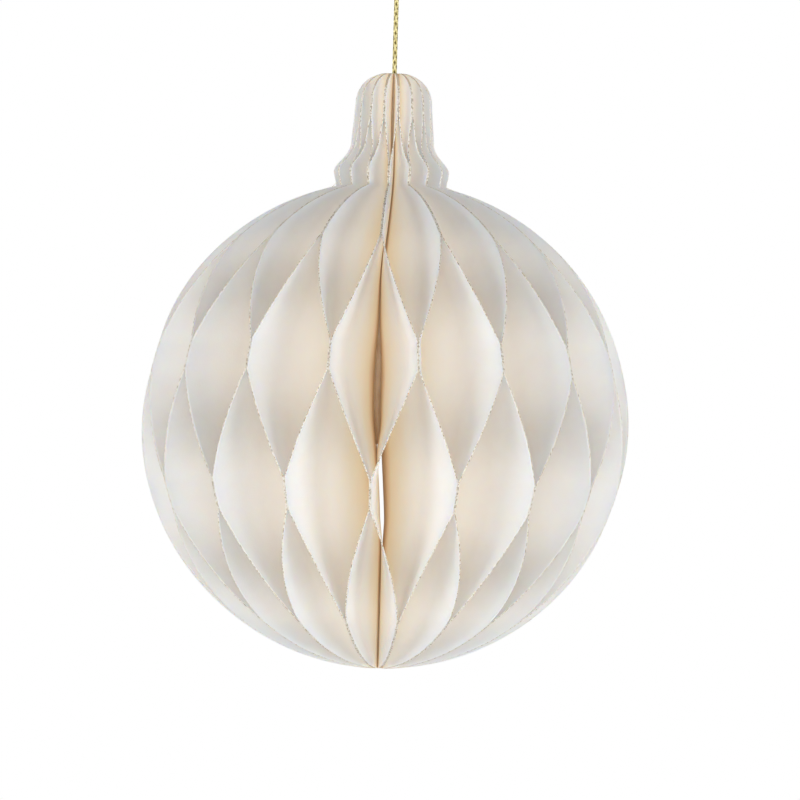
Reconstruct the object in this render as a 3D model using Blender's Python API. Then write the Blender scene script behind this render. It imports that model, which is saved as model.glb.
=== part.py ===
"""A honeycomb paper bauble on a cord, 150 mm across: 34 card leaves stand around one spine like the
pages of a book opened all the way round, and strips of glue join their rims in alternating pairs, so
that the rims swing from one neighbour to the other. Metres, +Z up. The origin is where a hook bears
on the hanging loop, and the bauble hangs below it.
"""

import math

import bmesh
import bpy
from mathutils import Matrix, Vector

MM = 0.001

# the outline that every leaf is cut to, as a radius at each height above the ball's centre
BALL_RADIUS = 75.0 * MM
NECK_RADIUS = 17.0 * MM  # where the neck stands on the ball
BEAD_RADIUS = 17.85 * MM  # the widest place of the neck
BEAD_RISE = 4.65 * MM  # from the ball up to the bead
FLARE_HEIGHT = 9.9 * MM  # from the bead up to the foot of the cap
CAP_FOOT_RADIUS = 12.7 * MM
CAP_SIDE_HEIGHT = 10.4 * MM
CAP_RADIUS = 11.9 * MM  # at the top of the cap's side
CROWN_HEIGHT = 10.5 * MM
CROWN_POWER = 2.3  # how square the rounding of the crown is
FLARE_POWER = 1.4  # how late the flare opens

# the leaves and the strips of glue
LEAVES = 34
CARD = 0.25 * MM
SPINE_PLAY = 0.29 * MM  # between two leaves at the spine
GLUE_GAP = 0.30 * MM  # between two leaves where their rims are glued
STRIP_HALF = 4.6 * MM
STRIP_PITCH = 42.1 * MM
FIRST_STRIP = 18.4 * MM  # height of the strip just above the ball's middle
PAIRED_BEAD = 2.3 * MM  # pairs stay together up to this far above the bead
PAIRED_CAP = 3.6 * MM  # and again from this far below the crown
CURL_LENGTH = 12.0 * MM  # how far in from the rim a leaf is bent
CURL_ROUNDNESS = 0.35  # 0 bends most at the rim, 1 a little further in
FLATTER_LEAVES = {1: 4.0, 2: 4.0}  # the front pair is bent over this many times the length
TIP_WIDTH = 1.0 * MM  # what is left of a leaf at its two ends
FIRST_AZIMUTH = -8.4  # degrees, from the front towards the right
COLUMN_DEPTHS = (9.0 * MM, 26.0 * MM)  # fold lines along a leaf, from the rim
COLUMN_SHARES = (0.3, 0.65)  # the most that they may take of a narrow leaf
ARC_STEP = 15.5  # degrees, the longest piece of the ball's outline

# the spine is glued above and below, and stands open a little in the middle
SPINE_OPEN = (-40.0 * MM, 68.0 * MM)
SPINE_BOW = 2.4 * MM  # to the left
BOW_FULL = (10.0 * MM, 40.0 * MM)
SLITS = (  # leaf on the left, extra width, and its four heights: shut, full, full, shut
    (1, 2.0 * MM, (-8.0 * MM, 5.0 * MM, 30.0 * MM, 44.0 * MM)),
    (2, 1.6 * MM, (-38.0 * MM, -28.0 * MM, -10.0 * MM, 0.0)),
    (18, 1.6 * MM, (-38.0 * MM, -28.0 * MM, -10.0 * MM, 0.0)),
)
SLIT_SPREAD = 8  # leaves on each side over which a slit fades

# the cord and what holds it
CORD_DIAMETER = 1.5 * MM
CORD_CLEARANCE = 0.30 * MM
CORD_TAIL = 18.0 * MM  # inside the spine, down to its stopper knot
STRAND = 25.0 * MM  # from the cap to the knot
KNOT_RADIUS = 2.0 * MM
KNOT_HEIGHT = 4.4 * MM
STOPPER_RADIUS = 1.5 * MM
STOPPER_HEIGHT = 3.0 * MM
LOOP_HEIGHT = 29.0 * MM  # from the knot up to the middle of the cord at the top
LOOP_HALF_WIDTH = 6.5 * MM
LOOP_FOOT = 1.05 * MM  # from the knot's middle to each end of the loop
CORD_POINT_STEP = 2.2  # diameters between the points of a cord
UPPER_GLUE_HEIGHT = 34.0 * MM
LOWER_GLUE_HEIGHT = 26.0 * MM

LEAF_ANGLE = 2 * math.pi / LEAVES
SPINE_RADIUS = LEAVES * (CARD + SPINE_PLAY) / (2 * math.pi)
CORD_RADIUS = CORD_DIAMETER / 2
NECK_HEIGHT = math.sqrt(BALL_RADIUS**2 - NECK_RADIUS**2)
BEAD_HEIGHT = NECK_HEIGHT + BEAD_RISE
CAP_FOOT = BEAD_HEIGHT + FLARE_HEIGHT
CROWN_FOOT = CAP_FOOT + CAP_SIDE_HEIGHT
CAP_TOP = CROWN_FOOT + CROWN_HEIGHT
KNOT_FOOT = CAP_TOP + STRAND
LOOP_TOP = KNOT_FOOT + KNOT_HEIGHT + LOOP_HEIGHT
HANG = LOOP_TOP - CORD_RADIUS  # from the ball's centre up to the hook

COLORS = {
    "card": (0.86, 0.82, 0.75),
    "glue": (0.80, 0.70, 0.50),
    "cord": (0.62, 0.47, 0.26),
}


def clear_scene():
    for item in list(bpy.data.objects):
        bpy.data.objects.remove(item)


def make_material(name, color, roughness, metallic=0.0):
    material = bpy.data.materials.new(name)
    material.use_nodes = True
    shader = material.node_tree.nodes["Principled BSDF"]
    shader.inputs["Base Color"].default_value = (*color, 1.0)
    shader.inputs["Roughness"].default_value = roughness
    shader.inputs["Metallic"].default_value = metallic
    return material


def add_piece(name, data, material, parent):
    """Puts a mesh or a curve in the scene, hung from the empty at the ball's centre."""
    data.materials.append(material)
    piece = bpy.data.objects.new(name, data)
    bpy.context.collection.objects.link(piece)
    piece.parent = parent
    return piece


def ease(t):
    """0 to 1 with a soft start and stop."""
    t = min(max(t, 0.0), 1.0)
    return t * t * (3 - 2 * t)


def plateau(z, heights):
    """0 outside the outer two heights, 1 between the inner two, eased between."""
    low, full_low, full_high, high = heights
    return ease((z - low) / (full_low - low)) * ease((high - z) / (high - full_high))


def radius_at(z):
    """The outline of the bauble: ball, neck with its bead, flare, cap and crown."""
    if z <= NECK_HEIGHT:
        return math.sqrt(max(BALL_RADIUS**2 - z**2, 0.0))
    if z <= BEAD_HEIGHT:
        return NECK_RADIUS + (BEAD_RADIUS - NECK_RADIUS) * ease((z - NECK_HEIGHT) / BEAD_RISE)
    if z <= CAP_FOOT:
        opened = ease(((CAP_FOOT - z) / FLARE_HEIGHT) ** FLARE_POWER)
        return CAP_FOOT_RADIUS + (BEAD_RADIUS - CAP_FOOT_RADIUS) * opened
    if z <= CROWN_FOOT:
        return CAP_FOOT_RADIUS + (CAP_RADIUS - CAP_FOOT_RADIUS) * (z - CAP_FOOT) / CAP_SIDE_HEIGHT
    rise = min((z - CROWN_FOOT) / CROWN_HEIGHT, 1.0)
    return CAP_RADIUS * (1 - rise**CROWN_POWER) ** (1 / CROWN_POWER)


def crown_height_at(radius):
    """The height at which the crown has this radius."""
    share = min(radius / CAP_RADIUS, 1.0)
    return CROWN_FOOT + CROWN_HEIGHT * (1 - share**CROWN_POWER) ** (1 / CROWN_POWER)


def tip_height(ball_side):
    """Where a leaf ends, below on the ball or above in the crown."""
    radius = SPINE_RADIUS + TIP_WIDTH
    return -math.sqrt(BALL_RADIUS**2 - radius**2) if ball_side else crown_height_at(radius)


def paired_zones():
    """Low end, high end and side of each stretch in which the rims stand together in pairs, from the
    bottom up. On side +1 the odd leaves lean to their right-hand neighbour, on side -1 to the left."""
    zones = []
    index = -math.floor((FIRST_STRIP + BALL_RADIUS) / STRIP_PITCH)
    while FIRST_STRIP + index * STRIP_PITCH + STRIP_HALF < BEAD_HEIGHT:
        middle = FIRST_STRIP + index * STRIP_PITCH
        side = 1 if index % 2 else -1
        zones.append([middle - STRIP_HALF, middle + STRIP_HALF, side])
        index += 1
    zones[0][0] = -BALL_RADIUS
    if zones[-1][2] < 0:
        zones.append([NECK_HEIGHT, NECK_HEIGHT, 1])
    zones[-1][1] = BEAD_HEIGHT + PAIRED_BEAD
    zones.append([CROWN_FOOT - PAIRED_CAP, CAP_TOP, -1])
    return zones


ZONES = paired_zones()


def swing_at(z):
    """From -1 to 1: how far the rims have swung from one neighbour to the other. Between two pairs
    they run straight."""
    below = None
    for low, high, side in ZONES:
        if z < low:
            return below[2] + (side - below[2]) * (z - below[1]) / (low - below[1])
        if z <= high:
            return side
        below = (low, high, side)
    return ZONES[-1][2]


def curl(leaf, depth):
    """How much of the rim's sideways move is left this far in from the rim."""
    t = depth / CURL_LENGTH / FLATTER_LEAVES.get(leaf, 1.0)
    return (1 + CURL_ROUNDNESS * t) * math.exp(-t)


def slit_shift(leaf, z):
    """Sideways move of a leaf's inner edge that opens the slits of the spine."""
    shift = 0.0
    for left_leaf, width, heights in SLITS:
        step = (leaf - left_leaf - 1 + LEAVES // 2) % LEAVES - LEAVES // 2
        side, away = (1, step) if step >= 0 else (-1, -step - 1)
        shift += side * width / 2 * max(1 - away / SLIT_SPREAD, 0.0) * plateau(z, heights)
    return shift


def leaf_point(leaf, z, depth):
    """A point of a leaf's middle surface, this far in from the rim at this height."""
    rim = radius_at(z)
    radius = rim - depth
    left = curl(leaf, rim - SPINE_RADIUS)
    share = (curl(leaf, depth) - left) / (1 - left)
    turn = LEAF_ANGLE / 2 - (CARD + GLUE_GAP) / 2 / rim
    side = 1 if leaf % 2 else -1
    azimuth = math.radians(FIRST_AZIMUTH) + (leaf - 1) * LEAF_ANGLE
    bent = azimuth + side * swing_at(z) * turn * share * rim / radius
    inward = depth / (rim - SPINE_RADIUS)
    sideways = slit_shift(leaf, z) * inward
    bow = SPINE_BOW * inward * plateau(z, (SPINE_OPEN[0], *BOW_FULL, SPINE_OPEN[1]))
    x = radius * math.sin(bent) + sideways * math.cos(azimuth) - bow
    y = -radius * math.cos(bent) + sideways * math.sin(azimuth)
    return Vector((x, y, z))


def row_heights():
    """Heights of a leaf's rows, from the crown down: at the fold lines, and between them as often as
    the outline's curve needs."""
    tip = SPINE_RADIUS + TIP_WIDTH
    rows = [crown_height_at(r) for r in (tip, (tip + CAP_RADIUS) / 2.15, 0.89 * CAP_RADIUS)]
    flare_zone = ZONES[-2][1]
    rows += [ZONES[-1][0], (ZONES[-1][0] + flare_zone) / 2 - PAIRED_BEAD, flare_zone, BEAD_HEIGHT]
    keys = [NECK_HEIGHT]
    for low, high, _ in reversed(ZONES[:-1]):
        keys += [z for z in (high, low) if tip_height(True) < z < NECK_HEIGHT]
    keys.append(tip_height(True))
    angles = [math.degrees(math.acos(z / BALL_RADIUS)) for z in keys]
    for start, end in zip(angles, angles[1:]):
        steps = max(1, math.ceil((end - start) / ARC_STEP - 0.1))
        for k in range(steps):
            angle = math.radians(start + (end - start) * k / steps)
            rows.append(BALL_RADIUS * math.cos(angle))
    return [*rows, keys[-1]]


def leaf_mesh(leaf, rows):
    bm = bmesh.new()
    grid = []
    for z in rows:
        width = radius_at(z) - SPINE_RADIUS
        inner = [min(depth, share * width) for depth, share in zip(COLUMN_DEPTHS, COLUMN_SHARES)]
        grid.append([bm.verts.new(leaf_point(leaf, z, depth)) for depth in (0.0, *inner, width)])
    for upper, lower in zip(grid, grid[1:]):
        for k in range(len(upper) - 1):
            bm.faces.new((upper[k], upper[k + 1], lower[k + 1], lower[k]))
    mesh = bpy.data.meshes.new(f"leaf_{leaf:02d}")
    bm.to_mesh(mesh)
    bm.free()
    mesh.shade_smooth()
    return mesh


def build_leaves(card, parent):
    rows = row_heights()
    for leaf in range(1, LEAVES + 1):
        piece = add_piece(f"leaf_{leaf:02d}", leaf_mesh(leaf, rows), card, parent)
        wall = piece.modifiers.new("card", "SOLIDIFY")
        wall.thickness = CARD
        wall.offset = 0.0


def turned(name, outline, sides, material, parent):
    """A turned solid from its outline of (radius, height) points, which starts and ends anywhere."""
    bm = bmesh.new()
    ring = [bm.verts.new((radius, 0.0, z)) for radius, z in outline]
    edges = [bm.edges.new(pair) for pair in zip(ring, ring[1:] + ring[:1])]
    bmesh.ops.spin(
        bm,
        geom=ring + edges,
        cent=(0, 0, 0),
        axis=(0, 0, 1),
        angle=2 * math.pi,
        steps=sides,
        use_merge=True,
        use_duplicate=False,
    )
    bmesh.ops.remove_doubles(bm, verts=bm.verts, dist=0.01 * MM)
    bmesh.ops.dissolve_degenerate(bm, dist=0.01 * MM, edges=bm.edges)
    on_axis = [e for e in bm.edges if e.is_wire]
    bmesh.ops.delete(bm, geom=on_axis, context="EDGES")
    bmesh.ops.recalc_face_normals(bm, faces=bm.faces)
    mesh = bpy.data.meshes.new(name)
    bm.to_mesh(mesh)
    bm.free()
    mesh.shade_smooth()
    mesh.set_sharp_from_angle(angle=math.radians(40))
    return add_piece(name, mesh, material, parent)


def build_glue(glue, parent):
    """Beads of glue down the middle of the spine. The upper one is cast around the cord's tail and
    its stopper knot, and is open at the top where the cord comes in."""
    outer = SPINE_RADIUS - CARD / 2 - CORD_CLEARANCE
    bore = CORD_RADIUS + CORD_CLEARANCE
    pocket = STOPPER_RADIUS + CORD_CLEARANCE
    top = tip_height(False)
    knot_top = CAP_TOP - CORD_TAIL + CORD_CLEARANCE
    knot_foot = CAP_TOP - CORD_TAIL - STOPPER_HEIGHT - CORD_CLEARANCE
    foot = top - UPPER_GLUE_HEIGHT
    cast = [
        (bore, top),
        (bore, knot_top),
        (pocket, knot_top),
        (pocket, knot_foot),
        (0.0, knot_foot),
        (0.0, foot),
        (outer, foot),
        (outer, top),
    ]
    turned("spine_glue_upper", cast, 20, glue, parent)
    low = tip_height(True)
    high = low + LOWER_GLUE_HEIGHT
    turned("spine_glue_lower", [(0.0, high), (0.0, low), (outer, low), (outer, high)], 20, glue, parent)


def knot_outline(radius, foot, height):
    """Two full turns of cord pulled tight: two bulges with a waist between them."""
    bulge = height / 4
    points = [(0.0, foot)]
    for middle in (foot + bulge, foot + 3 * bulge):
        for k in range(7):
            angle = math.radians(-90 + 30 * k)
            points.append((radius - bulge * 0.8 * (1 - math.cos(angle)), middle + bulge * math.sin(angle)))
    points.append((0.0, foot + height))
    apart = [p for p, q in zip(points[1:], points) if (Vector(p) - Vector(q)).length > 0.02 * MM]
    return [points[0], *apart]


def cord_tube(name, points, material, parent):
    curve = bpy.data.curves.new(name, "CURVE")
    curve.dimensions = "3D"
    curve.bevel_depth = CORD_RADIUS
    curve.bevel_resolution = 2
    curve.use_fill_caps = True
    spline = curve.splines.new("POLY")
    spline.points.add(len(points) - 1)
    for point, place in zip(spline.points, points):
        point.co = (*place, 1.0)
    return add_piece(name, curve, material, parent)


def evenly_along(route, step):
    """Points along a route about one step apart, its ends kept."""
    lengths = [0.0]
    for p, q in zip(route, route[1:]):
        lengths.append(lengths[-1] + (q - p).length)
    count = max(2, round(lengths[-1] / step))
    points = []
    k = 0
    for n in range(count + 1):
        target = lengths[-1] * n / count
        while k < len(route) - 2 and lengths[k + 1] < target:
            k += 1
        share = (target - lengths[k]) / (lengths[k + 1] - lengths[k])
        points.append(route[k].lerp(route[k + 1], share))
    return points


def loop_route():
    """A drop-shaped loop in the XZ plane: straight out of the knot, then round over the hook."""
    foot = KNOT_FOOT + KNOT_HEIGHT + CORD_CLEARANCE
    arc = LOOP_TOP - LOOP_HALF_WIDTH
    half = [Vector((-LOOP_FOOT, 0, foot))]
    for k in range(1, 21):
        t = k / 20
        out = LOOP_FOOT + (LOOP_HALF_WIDTH - LOOP_FOOT) * ease(t)
        half.append(Vector((-out, 0, foot + (arc - foot) * t)))
    for k in range(1, 13):
        angle = math.radians(180 - 7.5 * k)
        half.append(Vector((LOOP_HALF_WIDTH * math.cos(angle), 0, arc + LOOP_HALF_WIDTH * math.sin(angle))))
    return half + [Vector((-p.x, 0, p.z)) for p in reversed(half[:-1])]


def build_cord(cord, parent):
    """The cord comes up out of its stopper knot through the cap, is knotted above it, and runs on
    as the loop, whose other end is caught in the same knot."""
    step = CORD_POINT_STEP * CORD_DIAMETER
    low = Vector((0, 0, CAP_TOP - CORD_TAIL + CORD_CLEARANCE))
    high = Vector((0, 0, KNOT_FOOT - CORD_CLEARANCE))
    cord_tube("hanging_cord", evenly_along([low, high], step), cord, parent)
    cord_tube("hanging_loop_cord", evenly_along(loop_route(), step), cord, parent)
    turned("cord_knot", knot_outline(KNOT_RADIUS, KNOT_FOOT, KNOT_HEIGHT), 16, cord, parent)
    stopper_foot = CAP_TOP - CORD_TAIL - STOPPER_HEIGHT
    turned("stopper_knot", knot_outline(STOPPER_RADIUS, stopper_foot, STOPPER_HEIGHT), 16, cord, parent)


def build():
    clear_scene()
    centre = bpy.data.objects.new("ball_centre", None)
    bpy.context.collection.objects.link(centre)
    centre.matrix_world = Matrix.Translation((0, 0, -HANG))
    card = make_material("ivory_card", COLORS["card"], 0.75)
    glue = make_material("spine_glue", COLORS["glue"], 0.35)
    cord = make_material("gold_cord", COLORS["cord"], 0.4, 0.8)
    build_leaves(card, centre)
    build_glue(glue, centre)
    build_cord(cord, centre)


build()
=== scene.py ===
import math
import random

import bmesh
import bpy
from mathutils import Matrix, Vector


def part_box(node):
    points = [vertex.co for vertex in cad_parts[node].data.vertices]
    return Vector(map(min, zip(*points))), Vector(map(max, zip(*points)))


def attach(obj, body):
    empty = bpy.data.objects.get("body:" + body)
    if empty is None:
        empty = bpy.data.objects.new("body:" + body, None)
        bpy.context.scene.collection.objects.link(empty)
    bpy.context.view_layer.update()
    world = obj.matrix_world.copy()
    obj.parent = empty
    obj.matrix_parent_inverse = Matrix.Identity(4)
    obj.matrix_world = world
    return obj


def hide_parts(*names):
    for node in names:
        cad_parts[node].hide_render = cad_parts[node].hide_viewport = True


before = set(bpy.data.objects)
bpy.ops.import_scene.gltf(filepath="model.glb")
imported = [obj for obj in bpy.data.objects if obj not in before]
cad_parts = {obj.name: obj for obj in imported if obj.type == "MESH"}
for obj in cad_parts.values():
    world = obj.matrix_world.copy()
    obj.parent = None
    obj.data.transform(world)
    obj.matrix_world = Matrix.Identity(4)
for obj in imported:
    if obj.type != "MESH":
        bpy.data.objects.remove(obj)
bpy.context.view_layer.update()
mm = 0.001
fullTurn = 6.28  # radians, for what is turned by chance

# the outline of the bauble, from the ball's centre
outline = {
    "ball": 75.0 * mm,
    "neck": 17.0 * mm,
    "bead": 17.85 * mm,
    "beadRise": 4.65 * mm,
    "flare": 9.9 * mm,
    "capFoot": 12.7 * mm,
    "capSide": 10.4 * mm,
    "cap": 11.9 * mm,
    "crown": 10.5 * mm,
    "crownPower": 2.3,
    "flarePower": 1.4,
}
neckHeight = math.sqrt(outline["ball"] ** 2 - outline["neck"] ** 2)
beadHeight = neckHeight + outline["beadRise"]
capFoot = beadHeight + outline["flare"]
crownFoot = capFoot + outline["capSide"]
capTop = crownFoot + outline["crown"]

# the card leaves and how their rims are glued
leaves = {
    "count": 34,
    "card": 0.30 * mm,
    "glueGap": 0.10 * mm,
    "spine": 2.922 * mm,  # where the inner edges stand
    "tip": 1.0 * mm,  # what is left of a leaf at its ends
    "firstAzimuth": -8.4,
    "stripHalf": 4.6 * mm,
    "stripPitch": 42.1 * mm,
    "firstStrip": 18.4 * mm,
    "pairedBead": 2.3 * mm,
    "pairedCap": 3.6 * mm,
    "curl": 12.0 * mm,
    "curlRound": 0.35,
    "flatter": {1: 14.0, 2: 14.0},  # the front pair hardly bends
    "bow": 2.4 * mm,  # the open middle of the spine, to the left
    "bowHeights": (-40 * mm, 10 * mm, 42 * mm, 76 * mm),
    "slits": (
        (1, 1.8 * mm, (-10 * mm, 2 * mm, 14 * mm, 34 * mm)),
        (1, 0.45 * mm, (68 * mm, 80 * mm, 100 * mm, 110 * mm)),
        (2, 1.2 * mm, (-38 * mm, -28 * mm, -10 * mm, 0.0)),
        (18, 1.2 * mm, (-38 * mm, -28 * mm, -10 * mm, 0.0)),
    ),
    "slitSpread": 8,
    "jointHeights": (-68 * mm, -56 * mm, 50 * mm, 62 * mm),  # only between these do joints get painted glow
    "rowStep": 1.9 * mm,
    "spineStainAndShade": 9.0 * mm,  # how far out from the spine the card is browner, partly glue stain and partly painted shade of the deep fold
    "rimTone": 0.3,  # keeps the tones of narrow places near those of the rim
    "glowReach": 26.0 * mm,  # how far in from a joint the painted glow reaches
    "glowClear": 3.0 * mm,  # and how far it stays off the rim
    "glowAtNeck": 0.25,
    "glowNeckRise": 10.0 * mm,
    "glowAtJoint": 0.8,
    "curlSpread": (0.9, 1.12),  # hand-made leaves differ in curl
    "swaySpread": 0.25,  # and their middles stand this many mm to one side
    "swayPitch": 9.0 * mm,
    "columns": 22,
    "columnPower": 1.5,  # closer together towards the rim
    "seed": 11,
}
leafAngle = 2 * math.pi / leaves["count"]
tipRadius = leaves["spine"] + leaves["tip"]
ballFoot = -math.sqrt(outline["ball"] ** 2 - tipRadius**2)
ballCentre = Vector((0, 0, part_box("leaf_10")[0][2] - ballFoot))


def ease(t):
    t = min(max(t, 0.0), 1.0)
    return t * t * (3 - 2 * t)


def plateau(z, heights):  # 0 outside, 1 between the two middle heights
    low, fullLow, fullHigh, high = heights
    return ease((z - low) / (fullLow - low)) * ease((high - z) / (high - fullHigh))


def radiusAt(z):
    o = outline
    if z <= neckHeight:
        return math.sqrt(max(o["ball"] ** 2 - z**2, 0.0))
    if z <= beadHeight:
        return o["neck"] + (o["bead"] - o["neck"]) * ease((z - neckHeight) / o["beadRise"])
    if z <= capFoot:
        opened = ease(((capFoot - z) / o["flare"]) ** o["flarePower"])
        return o["capFoot"] + (o["bead"] - o["capFoot"]) * opened
    if z <= crownFoot:
        return o["capFoot"] + (o["cap"] - o["capFoot"]) * (z - capFoot) / o["capSide"]
    rise = min((z - crownFoot) / o["crown"], 1.0)
    return o["cap"] * (1 - rise ** o["crownPower"]) ** (1 / o["crownPower"])


def crownHeightAt(radius):
    share = min(radius / outline["cap"], 1.0)
    return crownFoot + outline["crown"] * (1 - share ** outline["crownPower"]) ** (1 / outline["crownPower"])


def pairedZones():  # low, high and side of each stretch where rims stand in pairs
    half, pitch, first = leaves["stripHalf"], leaves["stripPitch"], leaves["firstStrip"]
    zones = []
    for k in (-2, -1, 0, 1):
        zones.append([first + k * pitch - half, first + k * pitch + half, 1 if k % 2 else -1])
    zones[0][0] = -outline["ball"]
    zones[-1][1] = beadHeight + leaves["pairedBead"]
    zones.append([crownFoot - leaves["pairedCap"], capTop, -1])
    return zones


zones = pairedZones()


def swingAt(z):  # from -1 to 1, from one neighbour to the other
    below = None
    for low, high, side in zones:
        if z < low:
            return below[2] + (side - below[2]) * (z - below[1]) / (low - below[1])
        if z <= high:
            return side
        below = (low, high, side)
    return zones[-1][2]


def curlLeft(depth, length):  # share of the rim's sideways move this far in
    t = depth / length
    return (1 + leaves["curlRound"] * t) * math.exp(-t)


def slitShift(leaf, z):
    shift = 0.0
    for leftLeaf, width, heights in leaves["slits"]:
        step = (leaf - leftLeaf - 1 + leaves["count"] // 2) % leaves["count"] - leaves["count"] // 2
        side, away = (1, step) if step >= 0 else (-1, -step - 1)
        shift += side * width / 2 * max(1 - away / leaves["slitSpread"], 0.0) * plateau(z, heights)
    return shift


def leafPoint(leaf, z, depth, wave):
    rim = radiusAt(z)
    radius = rim - depth
    length = leaves["curl"] * wave["curl"]
    left = curlLeft(rim - leaves["spine"], length)
    share = (curlLeft(depth, length) - left) / (1 - left)
    turn = leafAngle / 2 - (leaves["card"] + leaves["glueGap"]) / 2 / rim
    side = 1 if leaf % 2 else -1
    azimuth = math.radians(leaves["firstAzimuth"]) + (leaf - 1) * leafAngle
    bent = azimuth + side * swingAt(z) * turn * share * rim / radius
    inward = depth / (rim - leaves["spine"])
    belly = 4 * inward * (1 - inward)
    fullness = min(rim / outline["ball"], 1) ** 2
    sway = wave["sway"] * math.sin(wave["phase"] + z / leaves["swayPitch"]) * belly * fullness
    sideways = slitShift(leaf, z) * inward + sway
    bow = leaves["bow"] * inward * plateau(z, leaves["bowHeights"])
    x = radius * math.sin(bent) + sideways * math.cos(azimuth) - bow
    y = -radius * math.cos(bent) + sideways * math.sin(azimuth)
    return Vector((x, y, z)) + ballCentre


def rowHeights():  # closer where the outline turns, and one at each fold line
    keys = [ballFoot]
    for low, high, _ in zones:
        keys += [z for z in (low, high) if ballFoot < z < crownFoot]
    keys += [neckHeight, beadHeight, capFoot, crownFoot, crownHeightAt(tipRadius)]
    keys = sorted(set(keys))
    rows = []
    for start, end in zip(keys, keys[1:]):
        reach = math.hypot(end - start, radiusAt(end) - radiusAt(start))
        steps = max(2, math.ceil(reach / leaves["rowStep"]))
        for k in range(steps):
            t = k / steps
            if start >= crownFoot:  # the crown's rows follow its rounding
                t = math.sin(t * math.pi / 2)
            if end <= zones[0][1]:  # and the foot's rows the ball's
                t = 1 - math.cos(t * math.pi / 2)
            rows.append(start + (end - start) * t)
    return [*rows, keys[-1]]


def addPiece(name, bm, *materials):
    mesh = bpy.data.meshes.new(name)
    bm.to_mesh(mesh)
    bm.free()
    for material in materials:
        mesh.materials.append(material)
    mesh.shade_smooth()
    piece = bpy.data.objects.new(name, mesh)
    bpy.context.collection.objects.link(piece)
    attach(piece, "root")
    return piece


class Shader:  # a material and the few calls that wire its nodes
    def __init__(self, name):
        self.material = bpy.data.materials.new(name)
        self.material.use_nodes = True
        self.tree = self.material.node_tree
        self.surface = self.tree.nodes["Principled BSDF"]

    def add(self, kind, **values):
        node = self.tree.nodes.new(kind)
        for key, value in values.items():
            setattr(node, key, value)
        return node

    def link(self, source, target):
        self.tree.links.new(source, target)

    def setValues(self, node, **values):
        for key, value in values.items():
            node.inputs[key].default_value = value

    def noise(self, scale, detail, roughness=0.5, stretch=(1, 1, 1)):
        place = self.add("ShaderNodeTexCoord")
        turn = self.add("ShaderNodeMapping")
        turn.inputs["Scale"].default_value = stretch
        cloud = self.add("ShaderNodeTexNoise")
        self.setValues(cloud, Scale=scale, Detail=detail, Roughness=roughness)
        self.link(place.outputs["Object"], turn.inputs["Vector"])
        self.link(turn.outputs["Vector"], cloud.inputs["Vector"])
        return cloud.outputs["Fac"]

    def ramp(self, source, *stops):
        band = self.add("ShaderNodeValToRGB")
        while len(band.color_ramp.elements) < len(stops):
            band.color_ramp.elements.new(0.5)
        for element, (place, color) in zip(band.color_ramp.elements, stops):
            element.position = place
            element.color = (*color, 1) if len(color) == 3 else color
        self.link(source, band.inputs["Fac"])
        return band.outputs["Color"]

    def mix(self, share, first, second, blend="MIX"):
        node = self.add("ShaderNodeMix", data_type="RGBA", blend_type=blend)
        for value, socket in ((share, 0), (first, 6), (second, 7)):
            if isinstance(value, bpy.types.NodeSocket):
                self.link(value, node.inputs[socket])
            else:
                node.inputs[socket].default_value = value
        return node.outputs[2]

    def attribute(self, name):
        return self.add("ShaderNodeAttribute", attribute_name=name).outputs["Fac"]

    def bump(self, height, distance, strength=1.0, under=None):
        node = self.add("ShaderNodeBump")
        self.setValues(node, Distance=distance, Strength=strength)
        self.link(height, node.inputs["Height"])
        if under:
            self.link(under, node.inputs["Normal"])
        return node.outputs["Normal"]


# ivory card, with painted shade and painted bounce light by depth
cardLook = {
    # card colour by depth: the darker band a little way in and the golden to brown stops deep in are painted
    # shade and bounce light of the folds, partly real glue yellowing near the spine
    "tones": (
        (0.02, (0.95, 0.94, 0.93)),
        (0.10, (0.93, 0.90, 0.875)),
        (0.24, (0.88, 0.84, 0.80)),
        (0.50, (0.95, 0.91, 0.86)),
        (0.84, (0.955, 0.87, 0.74)),
        (0.97, (0.78, 0.61, 0.40)),
    ),
    "roughness": 0.72,
    "shine": 0.25,
    "shown": 0.8,  # how much of the light sinks in
    "shownColors": (1.0, 0.74, 0.48),
    "shownDepth": 0.6 * mm,
    "cloud": 140.0,
    "paintedGlow": (  # painted glow, by depth: emission that stands in for light bounced between the cells and let through the card
        (0.08, (0.0, 0.0, 0.0)),
        (0.40, (0.097, 0.093, 0.087)),
        (0.85, (0.115, 0.098, 0.076)),
        (0.98, (0.10, 0.068, 0.036)),
    ),
    # painted glow added where the glue joints close the cells
    "paintedGlowAtGlue": (0.155, 0.147, 0.138, 1),
    "paintedGlowAtRim": 0.035,  # painted glow for the cut edges and the glitter
    "fibre": 2600.0,
    "tooth": 900.0,
}


def cardMaterial():
    look = cardLook
    s = Shader("ivoryCard")
    depth = s.attribute("inFromRim")
    tone = s.ramp(depth, *look["tones"])
    mottle = s.ramp(s.noise(look["cloud"], 4), (0.3, (0.97, 0.965, 0.955)), (0.7, (1, 1, 1)))
    color = s.mix(1.0, tone, mottle, "MULTIPLY")
    s.link(color, s.surface.inputs["Base Color"])
    s.setValues(s.surface, Roughness=look["roughness"])
    s.surface.inputs["Specular IOR Level"].default_value = look["shine"]
    s.surface.inputs["Subsurface Weight"].default_value = look["shown"]
    s.surface.inputs["Subsurface Radius"].default_value = look["shownColors"]
    s.surface.inputs["Subsurface Scale"].default_value = look["shownDepth"]
    # the card glows with painted bounce light, more deep in and near the joints
    paintedGlow = s.ramp(depth, *look["paintedGlow"])
    paintedGlow = s.mix(s.attribute("paintedGlowMask"), paintedGlow, look["paintedGlowAtGlue"], "ADD")
    s.link(paintedGlow, s.surface.inputs["Emission Color"])
    s.surface.inputs["Emission Strength"].default_value = 1.0
    s.material.cycles.emission_sampling = "NONE"
    tooth = s.bump(s.noise(look["tooth"], 3), 0.04 * mm, 0.5)
    fibre = s.bump(s.noise(look["fibre"], 2, 0.6, (1, 1, 0.35)), 0.03 * mm, 0.6, tooth)
    s.link(fibre, s.surface.inputs["Normal"])
    return s.material
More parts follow.
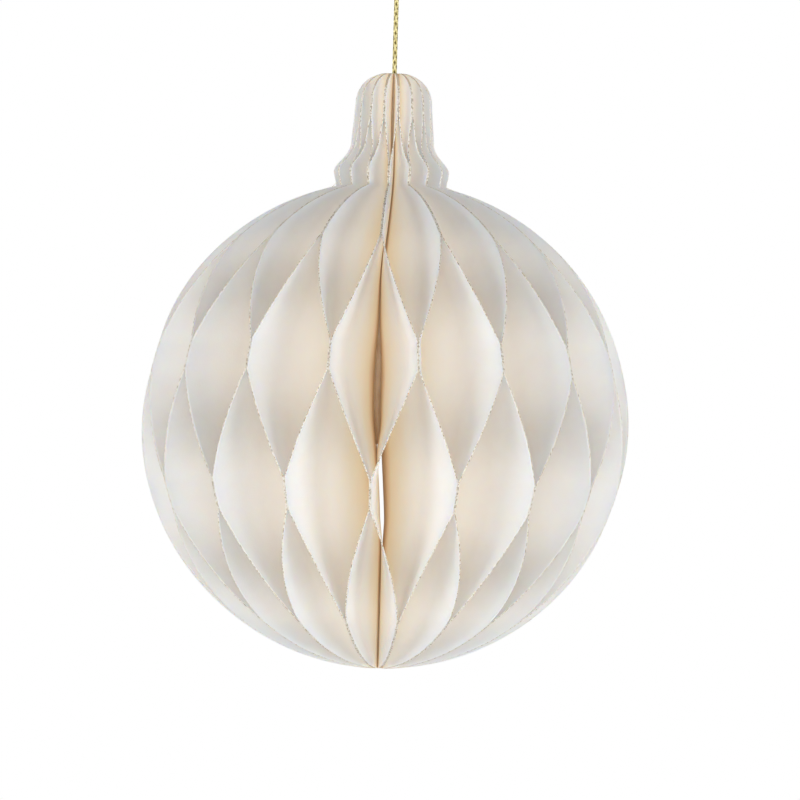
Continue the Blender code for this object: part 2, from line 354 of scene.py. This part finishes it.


# the cut edges, which sparkle at the rim with painted glints and are brown at the spine
edgeLook = {
    "grain": 1700.0,
    # glitter speckle on the cut edge; its cream spots are painted glints
    "rim": (
        (0.39, (0.46, 0.37, 0.26)),
        (0.46, (0.82, 0.73, 0.58)),
        (0.56, (0.98, 0.94, 0.87)),
    ),
    "spine": (0.74, 0.58, 0.42, 1),
    "rimEnds": (0.15, 0.20),
    "grainDepth": 0.12 * mm,
}


def edgeMaterial():
    look = edgeLook
    s = Shader("glitterEdge")
    grain = s.noise(look["grain"], 3)
    rim = s.ramp(grain, *look["rim"])
    first, last = look["rimEnds"]
    spine = s.ramp(s.attribute("inFromRim"), (first, (0, 0, 0)), (last, (1, 1, 1)))
    color = s.mix(spine, rim, look["spine"])
    s.link(color, s.surface.inputs["Base Color"])
    # the edge glows faintly in its own colour, as painted light
    s.link(color, s.surface.inputs["Emission Color"])
    s.surface.inputs["Emission Strength"].default_value = cardLook["paintedGlowAtRim"]
    s.material.cycles.emission_sampling = "NONE"
    s.setValues(s.surface, Roughness=0.5, Metallic=0.1)
    s.link(s.bump(grain, look["grainDepth"]), s.surface.inputs["Normal"])
    return s.material


def leafMesh(leaf, rows, wave):  # a grid laid on the leaf, which keeps its depth and painted glow for the card
    n = leaves["columns"]
    bm = bmesh.new()
    bmesh.ops.create_grid(bm, x_segments=n, y_segments=len(rows) - 1, size=0.5)
    inFromRim = bm.verts.layers.float.new("inFromRim")
    paintedGlowMask = bm.verts.layers.float.new("paintedGlowMask")
    for v in bm.verts:
        column = round((v.co.x + 0.5) * n)
        z = rows[round((v.co.y + 0.5) * (len(rows) - 1))]
        width = radiusAt(z) - leaves["spine"]
        depth = width * (column / n) ** leaves["columnPower"]
        v.co = leafPoint(leaf, z, depth, wave)
        reach = depth / width * (width / outline["ball"]) ** leaves["rimTone"]
        # deep places near the spine take the browner tones, partly glue stain and partly painted shade
        v[inFromRim] = max(reach, 1 - (width - depth) / leaves["spineStainAndShade"])
        # painted glow near the glue joints and under the neck, standing in for bounce light in the corners
        behind = math.exp(-depth / leaves["glowReach"]) - math.exp(-depth / leaves["glowClear"])
        joined = leaves["glowAtNeck"] * ease((z - neckHeight) / leaves["glowNeckRise"])
        joined += leaves["glowAtJoint"] * ease(abs(swingAt(z))) * plateau(z, leaves["jointHeights"])
        v[paintedGlowMask] = behind * joined
    bmesh.ops.recalc_face_normals(bm, faces=bm.faces)
    return bm


def makeLeaves(card, edge):
    rng = random.Random(leaves["seed"])
    spread = leaves["swaySpread"]
    rows = rowHeights()
    waves = {}
    for leaf in range(1, leaves["count"] + 1):
        wave = {
            "curl": rng.uniform(*leaves["curlSpread"]) * leaves["flatter"].get(leaf, 1.0),
            "sway": rng.uniform(-spread, spread) * mm * (leaf not in leaves["flatter"]),
            "phase": rng.uniform(0, fullTurn),
        }
        waves[leaf] = wave
        piece = addPiece(f"cardLeaf{leaf:02d}", leafMesh(leaf, rows, wave), card, edge)
        wall = piece.modifiers.new("card", "SOLIDIFY")
        wall.thickness = leaves["card"]
        wall.offset = 0.0
        wall.material_offset_rim = 1
        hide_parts(f"leaf_{leaf:02d}")
    return waves


# brown glue that has run down the inside of the spine
lining = {
    "radius": leaves["spine"] - 0.35 * mm,
    "foot": -6.0 * mm,
    "top": 73.9 * mm,  # just under the upper glue, clear of the cord's tail
    "ripple": 0.04,
    "rippleLobes": 3,
    "ripplePitch": 5.0 * mm,
    "sides": 32,
    "rings": 42,
}


def makeLining(material):
    bm = bmesh.new()
    bmesh.ops.create_grid(bm, x_segments=lining["sides"], y_segments=lining["rings"], size=0.5)
    for v in bm.verts:
        angle = 2 * math.pi * (v.co.x + 0.5)
        z = lining["foot"] + (lining["top"] - lining["foot"]) * (v.co.y + 0.5)
        wave = math.sin(lining["rippleLobes"] * angle + z / lining["ripplePitch"])
        ripple = 1 + lining["ripple"] * wave
        x = lining["radius"] * ripple * math.cos(angle) - leaves["bow"] * plateau(z, leaves["bowHeights"])
        v.co = Vector((x, lining["radius"] * ripple * math.sin(angle), z)) + ballCentre
    bmesh.ops.remove_doubles(bm, verts=bm.verts, dist=0.001 * mm)
    bmesh.ops.holes_fill(bm, edges=[e for e in bm.edges if e.is_boundary], sides=0)
    bmesh.ops.recalc_face_normals(bm, faces=bm.faces)
    addPiece("spineLining", bm, material)


# glitter on the rims
glitter = {
    "perMm": 5.0,
    "size": (0.05 * mm, 0.11 * mm),
    "spread": 0.24 * mm,  # how far in from the rim
    "edgeBand": 0.10 * mm,  # nearer the rim than this, a chip lies on the cut edge
    "crowding": 0.45,  # how closely the chips keep to the rim
    "tilt": 1.1,
    "seed": 5,
    # chip colours by a random tone: the champagne of the chips, with the dark and the bright ends as painted
    # reflections and glints of metal flakes
    "tones": (
        (0.0, (0.30, 0.23, 0.15)),
        (0.16, (0.52, 0.42, 0.28)),
        (0.22, (0.94, 0.85, 0.66)),
        (0.55, (1.0, 0.95, 0.85)),
        (1.0, (1.0, 0.99, 0.96)),
    ),
}
chipCorners = 4


def glitterMaterial():
    s = Shader("champagneGlitter")
    color = s.ramp(s.attribute("flakeToneAndGlint"), *glitter["tones"])
    s.link(color, s.surface.inputs["Base Color"])
    # the chips glow faintly in their own colour, as painted light
    s.link(color, s.surface.inputs["Emission Color"])
    s.surface.inputs["Emission Strength"].default_value = cardLook["paintedGlowAtRim"]
    s.material.cycles.emission_sampling = "NONE"
    s.setValues(s.surface, Roughness=0.4, Metallic=0.1)
    return s.material


# Known fault: remove_doubles frees places that the first copies fill, so a slice of four corners
# belongs to two chips and their faces stretch from one to the other. A bm.copy() after it would mend this.
def chips(count):  # one small three-sided chip, copied by doubling
    bm = bmesh.new()
    bmesh.ops.create_cone(bm, cap_ends=True, segments=3, radius1=1, radius2=0, depth=0.5)
    bmesh.ops.remove_doubles(bm, verts=bm.verts, dist=0.01)
    while len(bm.verts) < chipCorners * count:
        bmesh.ops.duplicate(bm, geom=[*bm.verts, *bm.edges, *bm.faces])
    bm.verts.ensure_lookup_table()
    bmesh.ops.delete(bm, geom=bm.verts[chipCorners * count :], context="VERTS")
    bm.verts.ensure_lookup_table()
    return bm


def makeGlitter(material, waves):  # chips scattered over each rim and a little way in
    rng = random.Random(glitter["seed"])
    rows = rowHeights()
    for leaf, wave in waves.items():
        path = [leafPoint(leaf, z, 0.0, wave) for z in rows]
        inner = [leafPoint(leaf, z, glitter["spread"], wave) for z in rows]
        spots = []
        for k in range(len(path) - 1):
            count = (path[k + 1] - path[k]).length / mm * glitter["perMm"]
            spots += [k] * (int(count) + (rng.random() < count % 1))
        bm = chips(len(spots))
        shade = bm.verts.layers.float.new("flakeToneAndGlint")
        for n, k in enumerate(spots):
            start, end = path[k], path[k + 1]
            across = (inner[k] - start).normalized()
            along = (end - start).normalized()
            out = across.cross(along).normalized()
            inward = abs(rng.gauss(0, glitter["crowding"])) * glitter["spread"]
            skin = leaves["card"] / 2
            skin *= rng.choice((-1, 1)) if inward > glitter["edgeBand"] else rng.uniform(-1, 1)
            place = start.lerp(end, rng.random()) + across * inward + out * skin
            lay = Matrix((across, along, out)).transposed()
            turn = Matrix.Rotation(rng.uniform(0, fullTurn), 3, "Z")
            turn = turn @ Matrix.Rotation(rng.uniform(0, glitter["tilt"]), 3, "X")
            chip = lay @ turn * rng.uniform(*glitter["size"])
            # a random tone for each chip, which picks a painted glint or dark reflection as well as its
            # colour
            tone = rng.random()
            for v in bm.verts[chipCorners * n : chipCorners * (n + 1)]:
                v.co = place + chip @ v.co
                v[shade] = tone
        piece = addPiece(f"rimGlitter{leaf:02d}", bm, material)
        piece.data.shade_flat()


# the braided cord, its knots and its loop
cord = {
    "radius": 0.75 * mm,
    "gap": 0.30 * mm,
    "tail": 18.0 * mm,
    "strand": 25.0 * mm,
    "knotHeight": 4.4 * mm,
    "knotRadius": 2.0 * mm,
    "stopperHeight": 3.0 * mm,
    "stopperRadius": 1.5 * mm,
    "loopHeight": 29.0 * mm,
    "loopHalfWidth": 6.5 * mm,
    "loopFoot": 1.05 * mm,
    "strands": 6,
    "pitch": 3.0 * mm,  # along the cord, once round a strand's zigzag
    "relief": 0.20,
    "ringStep": 0.11 * mm,
    "sides": 30,
    "loopSideSteps": 20,
    "loopArcSteps": 12,
    "knotTurns": 2.6,  # turns of the cord, pulled tight round itself
    "knotTightness": 0.9,  # how far its turns sink into each other
    "knotEnd": 0.85,  # from the knot's foot to the middle of its first turn, in cord radii
    "knotPull": 0.5,  # how far its two ends are drawn in
    "knotSteps": 60,
    # cord colour by braid height: dark in the grooves as painted shade, bright on the strands as painted
    # highlight
    "tones": (
        (0.45, (0.20, 0.16, 0.05)),
        (0.70, (0.80, 0.68, 0.28)),
        (0.92, (1.0, 0.93, 0.55)),
    ),
}
knotFoot = capTop + cord["strand"]


def cordRoute():  # up from the stopper knot, through the knot and once round the loop
    foot = knotFoot + cord["knotHeight"] + cord["gap"]
    arc = foot - cord["gap"] + cord["loopHeight"] - cord["loopHalfWidth"]
    half = []
    for k in range(cord["loopSideSteps"] + 1):
        t = k / cord["loopSideSteps"]
        x = cord["loopFoot"] + (cord["loopHalfWidth"] - cord["loopFoot"]) * ease(t)
        half.append(Vector((-x, 0, foot + (arc - foot) * t)))
    for k in range(1, cord["loopArcSteps"] + 1):
        angle = math.radians(180 - 90 * k / cord["loopArcSteps"])
        across, rise = cord["loopHalfWidth"] * math.cos(angle), cord["loopHalfWidth"] * math.sin(angle)
        half.append(Vector((across, 0, arc + rise)))
    loop = half + [Vector((-p.x, 0, p.z)) for p in reversed(half[:-1])]
    up = [Vector((0, 0, capTop - cord["tail"] + cord["gap"]))]
    up.append(Vector((0, 0, knotFoot)))
    up.append(Vector((-0.5 * cord["loopFoot"], 0, knotFoot + cord["knotHeight"] / 2)))
    end = Vector((cord["loopFoot"], 0, knotFoot + cord["knotHeight"] * 0.6))
    return [p + ballCentre for p in [*up, *loop, end]]


def evenly(route, step):
    lengths = [0.0]
    for p, q in zip(route, route[1:]):
        lengths.append(lengths[-1] + (q - p).length)
    count = round(lengths[-1] / step)
    points, k = [], 0
    for n in range(count + 1):
        target = lengths[-1] * n / count
        while k < len(route) - 2 and lengths[k + 1] < target:
            k += 1
        points.append(route[k].lerp(route[k + 1], (target - lengths[k]) / (lengths[k + 1] - lengths[k])))
    for _ in range(3):  # takes the corners off
        inner = [(a + 2 * b + c) / 4 for a, b, c in zip(points, points[1:], points[2:])]
        points = [points[0], *inner, points[-1]]
    return points, lengths[-1]


def braidRelief(angle, along):  # 1 on top of a strand, 0 in the grooves
    n = cord["strands"] / 2
    first = n * angle + 2 * math.pi * along / cord["pitch"]
    second = n * angle - 2 * math.pi * along / cord["pitch"]
    over = 0.5 + 0.5 * math.sin(first) * math.sin(second)
    one = abs(math.cos(first / 2)) * (0.75 + 0.25 * over)
    two = abs(math.cos(second / 2)) * (1.0 - 0.25 * over)
    return max(one, two)


def braidedTube(points):
    n = cord["sides"]
    bm = bmesh.new()
    bmesh.ops.create_grid(bm, x_segments=n, y_segments=len(points) - 1, size=0.5)
    shade = bm.verts.layers.float.new("braidHeightShading")
    side = Vector((0, 1, 0))
    frames, along = [], 0.0
    for k, p in enumerate(points):
        ahead = (points[min(k + 1, len(points) - 1)] - points[max(k - 1, 0)]).normalized()
        side = (side - ahead * side.dot(ahead)).normalized()
        frames.append((p, side.copy(), ahead.cross(side), along))
        if k + 1 < len(points):
            along += (points[k + 1] - p).length
    for v in bm.verts:
        angle = 2 * math.pi * (v.co.x + 0.5)
        p, a, b, s = frames[round((v.co.y + 0.5) * (len(points) - 1))]
        height = braidRelief(angle, s)
        radius = cord["radius"] * (1 - cord["relief"] * (1 - height))
        v.co = p + radius * (a * math.cos(angle) + b * math.sin(angle))
        v[shade] = height
    bmesh.ops.remove_doubles(bm, verts=bm.verts, dist=0.001 * mm)
    bmesh.ops.holes_fill(bm, edges=[e for e in bm.edges if e.is_boundary], sides=0)
    bmesh.ops.recalc_face_normals(bm, faces=bm.faces)
    return bm


def cordMaterial():
    s = Shader("goldBraid")
    # painted shade in the grooves and painted highlight on the strands
    color = s.ramp(s.attribute("braidHeightShading"), *cord["tones"])
    threads = s.noise(2500, 2, 0.6, (1, 1, 0.3))
    # painted glints along the threads
    glint = s.ramp(threads, (0.35, (0.62, 0.58, 0.45)), (0.65, (1.0, 1.0, 0.95)))
    s.link(s.mix(1.0, color, glint, "MULTIPLY"), s.surface.inputs["Base Color"])
    s.setValues(s.surface, Roughness=0.38, Metallic=0.45)
    s.link(s.bump(threads, 0.05 * mm), s.surface.inputs["Normal"])
    return s.material


def makeCord(material):
    points, length = evenly(cordRoute(), cord["ringStep"])
    piece = addPiece("braidedCord", braidedTube(points), material)
    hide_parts("hanging_cord", "hanging_loop_cord")
    knot = makeKnot("loopKnot", knotFoot, cord["knotHeight"], cord["knotRadius"], material)
    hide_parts("cord_knot")
    stopperFoot = capTop - cord["tail"] - cord["stopperHeight"]
    stopper = makeKnot("tailKnot", stopperFoot, cord["stopperHeight"], cord["stopperRadius"], material)
    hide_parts("stopper_knot")
    print("cord", round(length, 4))


def makeKnot(name, foot, height, radius, material):
    line = radius - cord["radius"] * cord["knotTightness"]
    rise = height - 2 * cord["knotEnd"] * cord["radius"]
    route = []
    for k in range(cord["knotSteps"] + 1):
        t = k / cord["knotSteps"]
        angle = 2 * math.pi * cord["knotTurns"] * t
        pull = 1 - cord["knotPull"] * (2 * abs(t - 0.5)) ** 6
        z = foot + cord["knotEnd"] * cord["radius"] + rise * t
        route.append(Vector((line * pull * math.cos(angle), line * pull * math.sin(angle), z)) + ballCentre)
    points, _ = evenly(route, cord["ringStep"] * 1.5)
    piece = addPiece(name, braidedTube(points), material)
    return piece


# the two glues of the frame stay as they are, with a finish that the lining shares
glueLook = {
    "cloud": 260.0,
    "tones": ((0.3, (0.78, 0.62, 0.45)), (0.7, (0.88, 0.75, 0.58))),
    "roughness": 0.28,
    "shown": 0.3,
    "shownDepths": (0.002, 0.0012, 0.0006),
    "lumps": 420.0,
    "lumpDepth": 0.25 * mm,
}


def glueMaterial():
    look = glueLook
    s = Shader("amberGlue")
    color = s.ramp(s.noise(look["cloud"], 3), *look["tones"])
    s.link(color, s.surface.inputs["Base Color"])
    s.setValues(s.surface, Roughness=look["roughness"])
    s.surface.inputs["Subsurface Weight"].default_value = look["shown"]
    s.surface.inputs["Subsurface Radius"].default_value = look["shownDepths"]
    s.link(s.bump(s.noise(look["lumps"], 3), look["lumpDepth"]), s.surface.inputs["Normal"])
    return s.material


def dressGlue(material):
    for name in ("spine_glue_upper", "spine_glue_lower"):
        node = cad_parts[name]
        node = bpy.data.objects[node] if isinstance(node, str) else node
        node.data.materials.clear()
        node.data.materials.append(material)


# the photograph's view, the light and the plain floor
studio = {
    "distance": 2.62,
    "lens": 383.0,
    "pitch": 2.0,
    "roll": 1.58,
    "shift": (0.0190, 0.0308),
    "sensor": 36.0,
    "farthest": 50.0,
    "floor": -0.9,
    "floorHalf": 2.5,
    "floorRoughness": 0.9,
    "floorColor": (0.93, 0.93, 0.92, 1),
    "floorGlow": (0.5, 0.5, 0.495, 1),  # seen by the camera only
    "sky": 0.335,
    "lamps": {
        "softLeft": ((-2.0, -1.8, -0.35), 27.0, 1.4),
        "softRight": ((2.0, -1.8, -0.35), 27.5, 1.4),
        "softFront": ((0.0, -2.7, -0.3), 17.0, 2.2),
        "backLeft": ((-1.6, 2.4, 0.3), 19.0, 1.4),
        "backRight": ((1.6, 2.4, 0.3), 19.0, 1.4),
    },
}


def makeCamera():
    camera = bpy.data.objects.new("camera", bpy.data.cameras.new("camera"))
    bpy.context.collection.objects.link(camera)
    pitch = math.radians(studio["pitch"])
    towards = Vector((0, math.cos(pitch), math.sin(pitch)))
    turn = towards.to_track_quat("-Z", "Y").to_matrix()
    place = Matrix.Translation(ballCentre - towards * studio["distance"])
    camera.matrix_world = place @ turn.to_4x4() @ Matrix.Rotation(math.radians(studio["roll"]), 4, "Z")
    camera.data.lens = studio["lens"]
    camera.data.sensor_width = studio["sensor"]
    camera.data.shift_x, camera.data.shift_y = studio["shift"]
    camera.data.clip_end = studio["farthest"]
    bpy.context.scene.camera = camera


def makeLights():
    world = bpy.data.worlds.new("studio")
    bpy.context.scene.world = world
    world.use_nodes = True
    nodes, links = world.node_tree.nodes, world.node_tree.links
    rays = nodes.new("ShaderNodeLightPath")
    seen = nodes.new("ShaderNodeMath")
    seen.operation = "MAXIMUM"
    links.new(rays.outputs["Is Camera Ray"], seen.inputs[0])
    links.new(rays.outputs["Is Transmission Ray"], seen.inputs[1])
    strength = nodes.new("ShaderNodeMix")
    strength.inputs["A"].default_value = studio["sky"]
    strength.inputs["B"].default_value = 1.0
    links.new(seen.outputs[0], strength.inputs["Factor"])
    back = nodes["Background"]
    back.inputs["Color"].default_value = (1, 1, 1, 1)
    links.new(strength.outputs["Result"], back.inputs["Strength"])
    for name, (place, power, size) in studio["lamps"].items():
        lamp = bpy.data.lights.new(name, "AREA")
        lamp.energy = power
        lamp.size = size
        key = bpy.data.objects.new(name, lamp)
        bpy.context.collection.objects.link(key)
        aim = (-Vector(place)).to_track_quat("-Z", "Y").to_matrix()
        key.matrix_world = Matrix.Translation(ballCentre + Vector(place)) @ aim.to_4x4()


def makeFloor():
    bm = bmesh.new()
    bmesh.ops.create_grid(bm, x_segments=1, y_segments=1, size=studio["floorHalf"])
    bmesh.ops.translate(bm, vec=(0, 0, studio["floor"]), verts=bm.verts)
    s = Shader("paleFloor")
    s.setValues(s.surface, Roughness=studio["floorRoughness"])
    s.surface.inputs["Base Color"].default_value = studio["floorColor"]
    s.surface.inputs["Emission Color"].default_value = studio["floorGlow"]
    rays = s.add("ShaderNodeLightPath")
    s.link(rays.outputs["Is Camera Ray"], s.surface.inputs["Emission Strength"])
    s.material.cycles.emission_sampling = "NONE"
    mesh = bpy.data.meshes.new("floor")
    bm.to_mesh(mesh)
    bm.free()
    mesh.materials.append(s.material)
    floor = bpy.data.objects.new("floor", mesh)
    bpy.context.collection.objects.link(floor)


makeCamera()
makeLights()
makeFloor()
print("studio made")
makeCord(cordMaterial())
glue = glueMaterial()
dressGlue(glue)
makeLining(glue)
leafWaves = makeLeaves(cardMaterial(), edgeMaterial())
print("leaves made")
makeGlitter(glitterMaterial(), leafWaves)
print("glitter made")

bpy.context.scene.view_settings.view_transform = "Standard"
